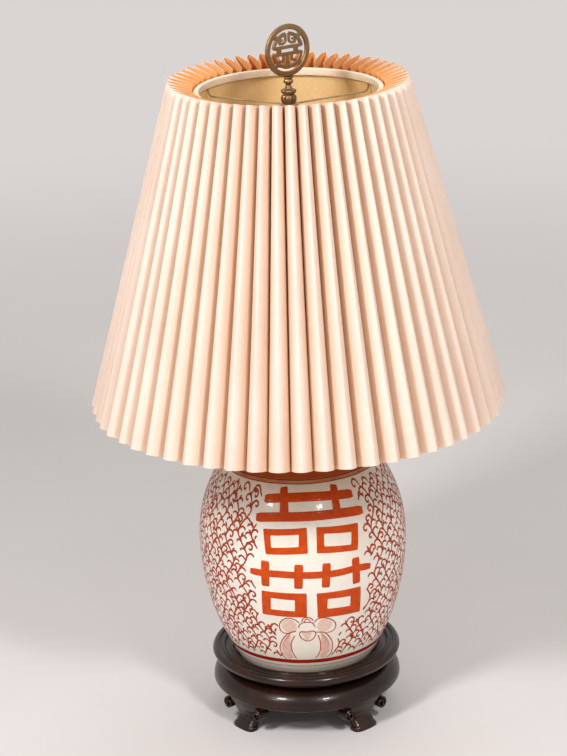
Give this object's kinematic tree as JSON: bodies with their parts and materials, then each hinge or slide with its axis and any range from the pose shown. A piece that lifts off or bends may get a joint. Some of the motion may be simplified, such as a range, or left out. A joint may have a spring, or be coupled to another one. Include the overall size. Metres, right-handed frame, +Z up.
{
  "type": "ginger jar lamp",
  "caption": "Table lamp with a painted ceramic ginger jar on a dark scroll-footed wooden stand, a tall pleated paper shade on a harp, and a pierced round finial.",
  "frame": {"origin": "centre of the four feet's contact faces, on the lamp's upright axis", "axes": "+Z up along the lamp's axis, -Y towards the painted character's side that the picture shows"},
  "size_m": [0.4064, 0.4064, 0.7021],
  "materials": {
    "rosewood": "polished dark wood",
    "ivory_glaze": "glossy",
    "pleat_paper": "matt",
    "liner_paper": "satin",
    "tape": "matt",
    "bronze": "aged",
    "brass": "satin",
    "steel": "satin",
    "wire_finish": "satin",
    "insulator": "matt",
    "card": "matt",
    "knob": "gloss",
    "bulb_glass": "frosted",
    "stem_glass": "clear",
    "cap_metal": "satin"
  },
  "bodies": {
    "base": {"stand_foot_1": "rosewood", "stand_foot_2": "rosewood", "stand_foot_3": "rosewood", "stand_foot_4": "rosewood", "stand_apron": "rosewood", "stand_waist": "rosewood", "stand_board": "rosewood", "jar_body": "ivory_glaze", "threaded_pipe": "steel", "base_washer": "steel", "base_nut": "steel", "cord_bushing": "insulator", "vase_cap": "brass", "brass_neck": "brass", "harp_saddle": "brass", "holder_cap": "brass", "holder_shell": "brass", "holder_liner": "card", "holder_core": "insulator", "screw_shell": "brass", "centre_contact": "brass", "terminal_screw_left": "steel", "terminal_screw_right": "brass"},
    "harp": {"harp_bow": "brass", "harp_stud": "brass"},
    "sleeve_left": {"harp_sleeve_left": "brass"},
    "sleeve_right": {"harp_sleeve_right": "brass"},
    "switch": {"switch_stem": "steel", "switch_knob": "knob"},
    "bulb": {"bulb_cap": "cap_metal", "bulb_insulator": "insulator", "bulb_contact": "cap_metal", "bulb_glass": "bulb_glass", "bulb_stem": "stem_glass"},
    "shade": {"shade_pleats": "pleat_paper", "shade_liner": "liner_paper", "shade_top_tape": "tape", "shade_bottom_tape": "tape", "shade_top_ring": "wire_finish", "shade_bottom_ring": "wire_finish", "shade_spider": "wire_finish"},
    "finial": {"finial_base": "bronze", "finial_collar": "bronze", "finial_neck": "bronze", "finial_medallion": "bronze"}
  },
  "joints": [
    {"name": "harp_lift", "type": "slide", "parent": "base", "child": "harp", "axis": [0, 0, 1], "range_m": [0, 0.03]},
    {"name": "sleeve_left_slide", "type": "slide", "parent": "harp", "child": "sleeve_left", "axis": [0, 0, 1], "range_m": [0, 0.02]},
    {"name": "sleeve_right_slide", "type": "slide", "parent": "harp", "child": "sleeve_right", "axis": [0, 0, 1], "range_m": [0, 0.02]},
    {"name": "shade_turn", "type": "hinge", "parent": "harp", "child": "shade", "pos_m": [0, 0, 0.625], "axis": [0, 0, 1], "continuous": true},
    {"name": "finial_turn", "type": "hinge", "parent": "harp", "child": "finial", "pos_m": [0, 0, 0.63], "axis": [0, 0, 1], "range_deg": [0, 2340]},
    {"name": "bulb_turn", "type": "hinge", "parent": "base", "child": "bulb", "pos_m": [0, 0, 0.36], "axis": [0, 0, 1], "range_deg": [0, 900]},
    {"name": "switch_turn", "type": "hinge", "parent": "base", "child": "switch", "pos_m": [0, 0, 0.3441], "axis": [0, -1, 0], "continuous": true}
  ]
}
